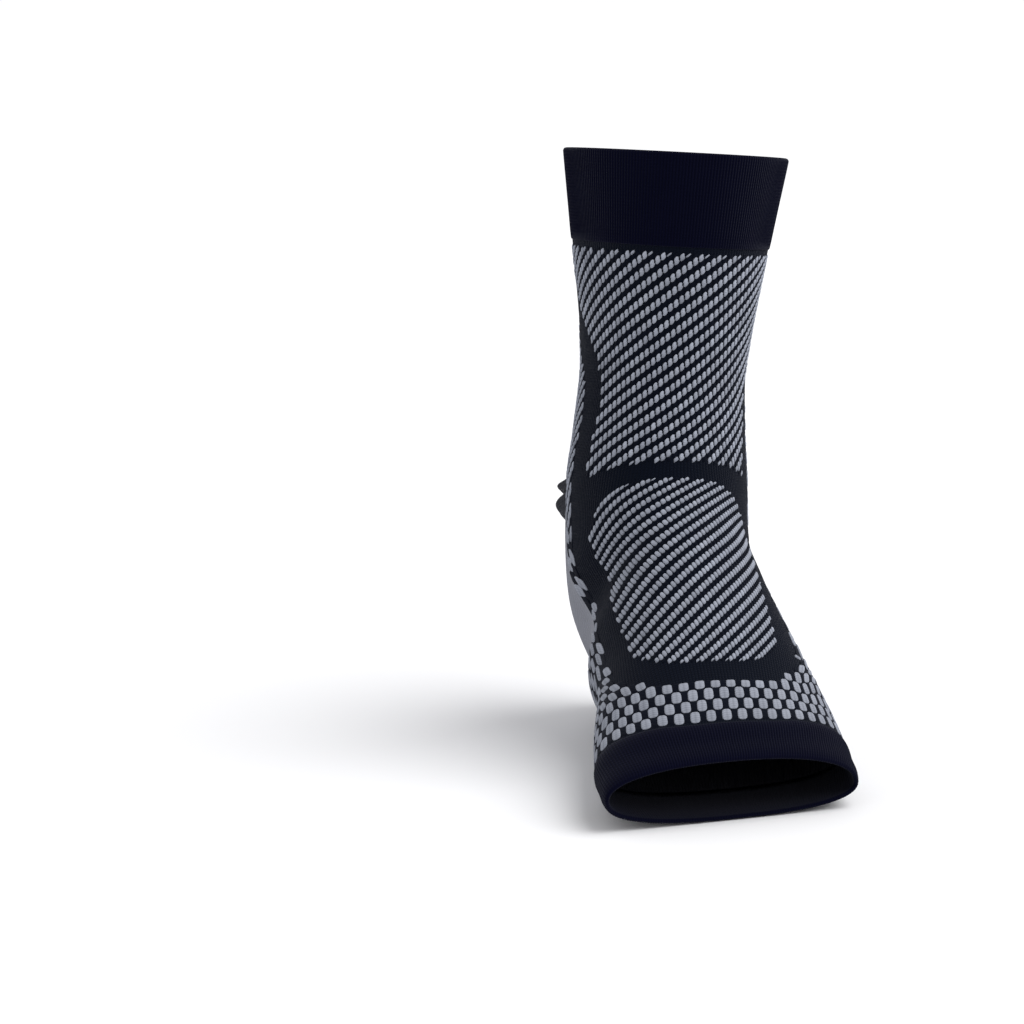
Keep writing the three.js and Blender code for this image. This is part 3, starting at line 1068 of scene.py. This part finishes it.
@dataclass
class Twill:
    """Diagonal stripes of raised stitches over one piece of the wall, with lower loops between them.

    Stitches fill a share of the stripes' spacing. They end at arm_top over the frame's arms, and elsewhere
    at top.
    """

    chart: Chart
    node: str
    slot: str
    wales: int
    leans: tuple[Lean, ...]
    count: Callable[[Array, Array], Array]
    fill: float
    stitch: StitchShape
    width: float
    height: float
    seed: int
    top: float = SECTIONS[-1].at
    arm_top: float = BANDS[8].start
    uneven: float = 0.07
    shortest: float = 0.4
    sunk: float = 0.5
    overlap: float = 1.1

    def marks(self, shift: float, fill: float) -> StitchMarks:
        """Places where the wales cross the stripes.

        Args:
            shift: share of a stripe by which the row of stitches is moved.
            fill: share of the stripe's spacing that a stitch covers.

        Returns:
            Marks of every stitch that lies on the piece.
        """
        at = np.arange(self.leans[0].at, self.leans[-1].at, WALE_STEP)
        rate = smooth_rows(self.leans, at)[:, 1]
        lean = np.cumsum(rate) * WALE_STEP
        found = []
        for wale in range(-self.wales // 2, self.wales // 2 + int(lean[-1]) + 1):
            stripe = self.count((wale - lean) / self.wales, at) + shift
            rising = np.minimum.accumulate(stripe)[::-1]
            whole = np.arange(math.ceil(rising[0]), math.floor(rising[-1]) + 1)
            centre = np.interp(whole, rising, at[::-1])
            pitch = 1 / np.maximum(np.abs(np.interp(centre, at, np.gradient(stripe, at))), LEAST_RATE)
            found.append(np.stack([np.full(len(whole), wale), centre, pitch * fill / 2], axis=1))
        wale, centre, half = np.concatenate(found).T
        trimmed = self._trim(wale, centre, half, lambda a: np.interp(a, at, lean))
        kept = trimmed[1] > 0
        wale, centre, half, cut = (values[kept] for values in (wale, *trimmed))
        share = (wale - np.interp(centre, at, lean)) / self.wales
        across, upward = self._axes(share, centre, np.interp(centre, at, rate))
        tone = np.random.default_rng(self.seed).normal(0, self.uneven, len(share))
        return StitchMarks(share, centre, across / 2, upward * half[:, None], tone, cut)

    def _axes(self, share: Array, at: Array, lean: Array) -> tuple[Array, Array]:
        """Steps along the stripe to the next wale, and along the wale for a millimetre of the ridge.

        Args:
            share: shares of the girth.
            at: places along the ridge.
            lean: lean of the wales there.

        Returns:
            The two steps, as vectors.
        """
        skin, girth = self.chart.skin, self.chart.skin.girth(at)
        around = skin.read(skin.around, share, at) * girth[:, None]
        upward = skin.read(skin.upward, share, at)
        step = COUNT_STEP / girth
        turn = (self.count(share + step, at) - self.count(share - step, at)) / step / 2
        rise = (self.count(share, at + COUNT_STEP) - self.count(share, at - COUNT_STEP)) / COUNT_STEP / 2
        whole = self.wales * rise - lean * turn
        stripe = around * (rise / whole)[:, None] - upward * (turn / whole)[:, None]
        return stripe, upward - around * (lean / self.wales)[:, None]

    def _trim(
        self, wale: Array, centre: Array, half: Array, lean: Callable[[Array], Array],
    ) -> tuple[Array, ...]:
        """Cut the stitches back to the piece's outline.

        Args:
            wale: wale numbers.
            centre: places of the stitches' middles along the ridge.
            half: half lengths along the ridge.
            lean: lean of the wales at a place.

        Returns:
            New middles, half lengths with 0 for a stitch that falls away, and which ends are cut.
        """
        steps = np.linspace(-1, 1, TRIM_STEPS)
        at = centre[:, None] + half[:, None] * steps
        share = (wale[:, None] - lean(at)) / self.wales
        number = self.chart.names.index(self.node)
        part = self.chart.reach(share.ravel(), at.ravel()).astype(int).reshape(at.shape)
        inside = (self.chart.piece_at(share.ravel(), at.ravel()) == number).reshape(at.shape)
        inside = inside & (at < np.where(part == 1, self.arm_top, self.top))
        low, high = (steps[end] for end in marked_ends(inside))
        whole = inside.any(axis=1) & (high - low > self.shortest)
        length = np.where(whole, half * (high - low) / 2, 0)
        return centre + half * (low + high) / 2, length, (low > -1) + 2 * (high < 1)

    def build(self, tree: StitchTree, grey: Material, black: Material) -> list[Piece]:
        """Build the raised stitches and the dark loops between them.

        Args:
            tree: tree that sets the stitches.
            grey: material of the raised stitches.
            black: material of the loops between.

        Returns:
            The two pieces.
        """
        raised, sunk = self.marks(0.0, self.fill), self.marks(0.5, (1 - self.fill) * self.overlap)
        skin = self.chart.skin
        size = Vector((self.width, 1.0, self.height))
        light = tree.grow(f"{self.node}_stitches", raised.mesh(skin, 0.0), self.stitch, size, grey)
        small = Vector((self.width, 1.0, self.height * self.sunk))
        dark = tree.grow(f"{self.node}_loops", sunk.mesh(skin, 0.0), StitchShape.LOOP, small, black)
        LOG.info("%s: %d raised stitches, %d loops between", self.node, len(raised.share), len(sunk.share))
        return [show(light, grey, self.node, self.slot), show(dark, black, self.node, self.slot)]


@dataclass
class Checks:
    """Chequered pillows of the foot, in columns beside the frame and rows that follow the toe cuff.

    Pairs are places along the ridge, or columns for aside, over which a change comes in. Columns leave the
    forefoot's spacing over easing. Rows grow outwards over aside. They fall into step with the frame's edge
    and tilt over joining, and the narrow strip's cells close up over closing.
    """

    chart: Chart
    node: str = "foot_sleeve"
    slot: str = "check_knit"
    half_columns: int = 38
    front_columns: float = 5.5
    offset: float = -0.3
    first: float = 19.4
    last: float = 140.0
    rows: int = 26
    start: float = 0.18
    pitch: float = 6.0
    side_pitch: float = 5.75
    easing: tuple[float, float] = (44.0, 76.0)
    aside: tuple[float, float] = (5.5, 8.5)
    longer: float = 0.3
    wider: float = 0.5
    joining: tuple[float, float] = (64.0, 80.0)
    tilt: float = 0.075
    more_tilt: float = 0.7
    closing: tuple[float, float] = (96.0, 116.0)
    closer: float = 0.32
    spread: float = 0.25
    width: float = 1.25
    height: float = 0.38
    fill: float = 1.03
    drift: float = 0.1
    nudge: float = 0.575
    shortest: int = 3
    lift: float = -0.05
    uneven: float = 0.06
    seed: int = 11

    def lane(self, column: float) -> Array:
        """Run of one column of checks.

        Args:
            column: column number from the middle of the front.

        Returns:
            Rows of shares, places along the ridge, and checks counted from the toe cuff.
        """
        skin = self.chart.skin
        at = np.arange(self.first, self.last, LANE_STEP)
        edges, ease = Edge(*smooth_rows(EDGES, at).T), smoothstep(at, *self.easing)
        joined, close = smoothstep(at, *self.joining), smoothstep(at, *self.closing)
        half, reach, way = skin.girth(at) / 2, abs(column), math.copysign(1.0, column)
        outer = EDGES[0].outer + (edges.outer - EDGES[0].outer) * ease
        wide = self.side_pitch * (1 + self.wider * ease + self.spread * close)
        beside = outer + (reach - self.front_columns) * wide
        arc = np.where(reach <= self.front_columns, reach / self.front_columns * outer, beside)
        fade = np.clip((half - arc) / (half - outer - STRIP_WIDTH), 0, 1)
        aside = self.drift * (np.minimum(at, self.easing[0]) - self.first) * fade
        share = (way * arc + edges.shift * fade + aside) / (2 * half)
        own, edge = self._strides(share, at), self._strides((way * outer + edges.shift) / (2 * half), at)
        outward = self.longer * smoothstep(np.array(reach), *self.aside) * (1 - joined)
        long = self.pitch * (1 + self.longer * ease) * (1 + outward) * (1 - self.closer * close)
        count = np.cumsum((own + (edge - own) * joined) / long)
        hem = np.argmax(at >= self.chart.hem(1, share))
        tilt = self.tilt * (joined + self.more_tilt * close) * np.clip(arc - outer, 0, STRIP_WIDTH)
        ended = np.where(arc > half - self.width, np.nan, share)
        return np.stack([ended, at, count - count[hem] - self.start - tilt])

    def _strides(self, share: Array, at: Array) -> Array:
        """Lengths from each point of a line on the wall to the one before it."""
        points = self.chart.skin.place(share, at)
        return np.linalg.norm(np.diff(points, axis=0, prepend=points[:1]), axis=1)

    def spot(self, lane: Array, row: Array) -> tuple[Array, Array, Array]:
        """Where a column of checks reaches row counts.

        Args:
            lane: run of the column.
            row: row counts from the toe cuff.

        Returns:
            Shares, places along the ridge, and points, not numbers where the column has ended.
        """
        share, at, count = lane
        place = np.interp(row, count, at)
        there = np.interp(place, at, share)
        points = self.chart.skin.place(np.nan_to_num(there), place)
        return there, place, np.where(np.isfinite(there)[:, None], points, np.nan)

    def marks(self, odd: int) -> StitchMarks:
        """Places of the pillows.

        Args:
            odd: 0 for the light pillows, 1 for the dark ones between them.

        Returns:
            Marks of every pillow that lies on the piece, cut back to its outline.
        """
        skin, number = self.chart.skin, self.chart.names.index(self.node)
        steps = np.linspace(-0.5, 0.5, TRIM_STEPS) * self.fill
        numbers = range(-self.half_columns - 1, self.half_columns + 2)
        lanes = [self.lane(k / 2 + self.offset) for k in numbers]
        found = []
        for k, before, lane, after in zip(numbers[1:], lanes, lanes[1:], lanes[2:]):
            centre = np.arange((k + odd) % 2, self.rows, 2) + 0.5
            there, place, _ = self.spot(lane, (centre[:, None] + steps).ravel())
            aside = self.nudge / skin.girth(place)
            middle = np.nan_to_num(there)
            covers = [self.chart.piece_at(middle + n, place) == number for n in (-aside, aside)]
            inside = np.all(covers, axis=0) & np.isfinite(there) & (place < self.last - 1)
            inside = inside.reshape(len(centre), -1)
            low, high = marked_ends(inside)
            cut = (low > 0) + 2 * (high < TRIM_STEPS - 1)
            middle = centre + (steps[low] + steps[high]) / 2
            there, place, here = self.spot(lane, middle)
            ends = [self.spot(lane, middle + steps[e])[2] for e in (0, -1)]
            beside = [self.spot(neighbour, middle)[2] for neighbour in (before, after)]
            beside = [np.where(np.isfinite(p), p, here) for p in beside]
            across = (beside[1] - beside[0]) / 4
            upward = (ends[1] - ends[0]) * ((high - low) / (TRIM_STEPS - 1) / 2)[:, None]
            kept = inside.any(axis=1) & (high - low > self.shortest)
            kept = kept & np.isfinite(upward).all(axis=1) & np.isfinite(there)
            found.append(np.column_stack([there, place, across, upward, cut])[kept])
        marks = np.concatenate(found)
        tone = np.random.default_rng(self.seed + odd).normal(0, self.uneven, len(marks))
        return StitchMarks(marks[:, 0], marks[:, 1], marks[:, 2:5], marks[:, 5:8], tone, marks[:, 8])

    def build(self, tree: StitchTree, grey: Material, black: Material) -> list[Piece]:
        """Build the light and the dark pillows.

        Args:
            tree: tree that sets them.
            grey: material of the light ones.
            black: material of the dark ones.

        Returns:
            The two pieces.
        """
        pieces = []
        for odd, (name, yarn, part) in enumerate((("checks", grey, 1.0), ("squares", black, 0.5))):
            size = Vector((self.width * (0.7 + 0.3 * part), 1.0, self.height * part))
            marks = self.marks(odd).mesh(self.chart.skin, self.lift)
            mesh = tree.grow(f"{self.node}_{name}", marks, StitchShape.PILLOW, size, yarn)
            pieces.append(show(mesh, yarn, self.node, self.slot))
        return pieces


def heel_ribs(column: Array, course: Array, share: Array, at: Array) -> Array:
    """Shallow upright ribs of the heel, which die out at its edges."""
    inner = smoothstep(np.abs(column), POCKET_COLUMN, POCKET_COLUMN + HEEL_FADE)
    return HEEL_RIB_HEIGHT * inner * np.cos(2 * np.pi * HEEL_RIBS * share)


def ankle_folds(column: Array, course: Array, share: Array, at: Array) -> Array:
    """Two crosswise folds behind the ankle, with a slight waver.

    Args:
        column: chart columns.
        course: chart courses.
        share: shares of the girth.
        at: places along the ridge.

    Returns:
        Heights over the wall, in millimetres.
    """
    part = np.clip(course - FOLD_BAND, 0, 1)
    waver = 1 + 0.12 * np.sin(2 * np.pi * 9 * share + 1.0) + 0.08 * np.sin(2 * np.pi * 23 * share)
    rise = smoothstep(np.abs(column), POCKET_COLUMN, POCKET_COLUMN + FOLD_FADE) * waver
    across = (part / FOLD_SPLIT, (part - FOLD_SPLIT) / (1 - FOLD_SPLIT))
    folds = [np.sin(np.pi * np.clip(place, 0, 1)) ** FOLD_ROUND for place in across]
    return rise * np.maximum(FOLD_HEIGHTS[0] * folds[0], FOLD_HEIGHTS[1] * folds[1])


@dataclass
class Studio:
    """Pale floor, soft light and the camera at the pictured angle."""

    eye: tuple[float, float, float] = (-227.4, -949.9, 235.0 - SEAT_HEIGHT)
    look: tuple[float, float, float] = (0.1718, 0.9745, -0.1442)
    lens: float = 86.13
    sun: tuple[float, float, float] = (0.8, -0.44, 1.25)
    sun_power: float = 2.3
    sun_width: float = 55.0
    walls: float = 1.06
    ceiling: float = 0.45

    def build(self) -> None:
        """Set up floor, surroundings, light and camera."""
        bpy.context.scene.view_settings.view_transform = "Standard"
        self._floor()
        self._surroundings()
        self._light()
        self._camera()

    def _surroundings(self) -> None:
        """Surround the sleeve with white walls under a dimmer ceiling."""
        world = bpy.data.worlds.new("studio")
        world.use_nodes = True
        bench = Bench(world.node_tree)
        direction = bench.node("ShaderNodeTexCoord", {}, {}).outputs["Generated"]
        height = bench.value(bench.node("ShaderNodeSeparateXYZ", {}, {0: direction}), 2).size()
        background = world.node_tree.nodes["Background"]
        bench.feed(background.inputs["Color"], (0.985, 0.985, 1.0, 1))
        bench.feed(background.inputs["Strength"], self.walls - height * (self.walls - self.ceiling))
        bpy.context.scene.world = world

    def _light(self) -> None:
        """Hang one broad soft light at the front right."""
        data = bpy.data.lights.new("soft_light", "SUN")
        data.energy, data.angle = self.sun_power, math.radians(self.sun_width)
        self._aim(put("soft_light", data), self.sun, "Z")

    def _floor(self) -> None:
        """Lay the pale floor under the sole."""
        mesh = bpy.data.meshes.new("floor")
        reach, level = 12.0, -SEAT_HEIGHT * MM
        corners = [(x * reach, y * reach, level) for x, y in ((-1, -1), (1, -1), (1, 1), (-1, 1))]
        mesh.from_pydata(corners, [], [(0, 1, 2, 3)])
        dye = Dye("pale_floor")
        dye.finish({"Base Color": (0.92, 0.92, 0.93, 1), "Roughness": 0.9})
        mesh.materials.append(dye.material)
        floor = put("floor", mesh)

    def _camera(self) -> None:
        """Stand the camera where the picture was taken."""
        data = bpy.data.cameras.new("camera")
        data.sensor_width, data.lens = 36.0, self.lens
        data.clip_start, data.clip_end = 0.05, 60.0
        camera = put("camera", data)
        camera.location = Vector(self.eye) * MM
        self._aim(camera, self.look, "-Z")
        bpy.context.scene.camera = camera

    @staticmethod
    def _aim(piece: Piece, direction: Sequence[float], front: str) -> None:
        """Turn an object's front axis to a direction."""
        piece.rotation_mode = "QUATERNION"
        piece.rotation_quaternion = Vector(direction).to_track_quat(front, "Y")


@dataclass
class Sleeve:
    """The whole sleeve: cloth walls, welts and raised stitches."""

    chart: Chart
    yarns: dict[Weave, Material]

    def build(self) -> None:
        """Build the walls, then the stitches on them."""
        self.walls()
        self.stitches()

    def walls(self) -> None:
        """Build every cloth wall."""
        chart, black = self.chart, self.yarns[Weave.BLACK_GROUND]
        rib, grey = self.yarns[Weave.BLACK_RIB], self.yarns[Weave.GREY_GROUND]
        Cuff(
            chart, "top_cuff", "black_knit", rib, Flat(0.282, 0.034, 0.0092), wall=2.2, course_pitch=1.2,
        ).build()
        Cuff(
            chart, "toe_cuff", "black_knit", rib, Flat(0.25, 0.032, 0.0058), wall=1.7, rim=0.0, band=1,
            proud=0.3, ribs=210, bulge=0.3, runs=10, course_pitch=1.2,
        ).build()
        Cloth(chart, "leg_sleeve", "twill_knit", black, Flat(0.26, 0.115, 0.0203)).build()
        Cloth(chart, "ankle_frame", "black_knit", black, Flat(0.155, 0.15, 0.0078)).build()
        Cloth(chart, "instep_panel", "twill_knit", black, Flat(0.085, 0.078, 0.0056)).build()
        Cloth(chart, "foot_sleeve", "check_knit", black, Flat(0.29, 0.13, 0.0187)).build()
        Cloth(
            chart, "heel_cup", "grey_knit", grey, Flat(0.21, 0.125, 0.0136),
            columns=(24, 8, 8, 190), relief=heel_ribs, wales=HEEL_RIBS, course_pitch=1.5,
        ).build()
        # The folds take the lighter copy of the black yarn, painted light on the folds
        Cloth(
            chart, "heel_folds", "black_knit", self.yarns[Weave.BLACK_FOLD], Flat(0.145, 0.034, 0.0027),
            columns=(24, 8, 6, 72), courses=(8, 14, 8, 16, 22, 16, 36, 44, 4, 16), relief=ankle_folds,
        ).build()

    def stitches(self) -> None:
        """Build the twill and the checks."""
        tree, chart = StitchTree(), self.chart
        black = self.yarns[Weave.BLACK_LOOP]
        leg = (Lean(118, 0.13), Lean(136, 0.13), Lean(160, 0.12), Lean(185, 0.085), Lean(218, 0.1))
        Twill(
            chart, "leg_sleeve", "twill_knit", wales=108, leans=leg, count=self.leg_count, fill=0.6,
            stitch=StitchShape.TWIN_LOOP, width=0.95, height=0.48, seed=5, top=216.8,
        ).build(tree, self.yarns[Weave.GREY_FLOAT], black)
        instep = (
            Lean(50, 0.17), Lean(66, 0.17), Lean(84, 0.2), Lean(97, 0.24),
            Lean(110, 0.24), Lean(124, 0.2), Lean(134, 0.2),
        )
        Twill(
            chart, "instep_panel", "twill_knit", wales=135, leans=instep, count=self.instep_count, fill=0.6,
            stitch=StitchShape.GRAIN, width=0.97, height=0.46, seed=7,
        ).build(tree, self.yarns[Weave.GREY_FLOAT], black)
        Checks(chart).build(tree, self.yarns[Weave.GREY_CHECK], black)

    @staticmethod
    def leg_count(share: Array, at: Array) -> Array:
        """Stripes counted round and up the leg, with slight waves round it.

        Args:
            share: shares of the girth.
            at: places along the ridge.

        Returns:
            Stripe counts.
        """
        turn = 2 * np.pi * share
        waves = [np.ones_like(turn), np.cos(turn), np.sin(turn), np.cos(2 * turn), np.sin(2 * turn)]
        powers = ((at - LEG_MIDDLE) / STRIPE_SPAN) ** np.arange(4)[:, None]
        return STRIPES_ROUND * share + np.einsum("ws,wp,ps->s", np.stack(waves), LEG_STRIPES, powers)

    def instep_count(self, share: Array, at: Array) -> Array:
        """Stripes counted over the instep, by powers of the place across the foot and the height.

        Args:
            share: shares of the girth.
            at: places along the ridge.

        Returns:
            Stripe counts.
        """
        x, y, z = self.chart.skin.place(share, at).T
        across = (ACROSS_FOOT[0] * x + ACROSS_FOOT[1] * y) / STRIPE_SPAN
        height = (z - INSTEP_MIDDLE) / STRIPE_SPAN
        return np.polynomial.polynomial.polyval2d(across, height, INSTEP_STRIPES)


def main() -> None:
    """Build the sleeve in its studio."""
    logging.basicConfig(level=logging.INFO, format="%(name)s %(message)s")
    Studio().build()
    skin = Skin()
    Sleeve(Chart(skin), {weave: weave.value.material() for weave in Weave}).build()


if __name__ == "__main__":
    main()
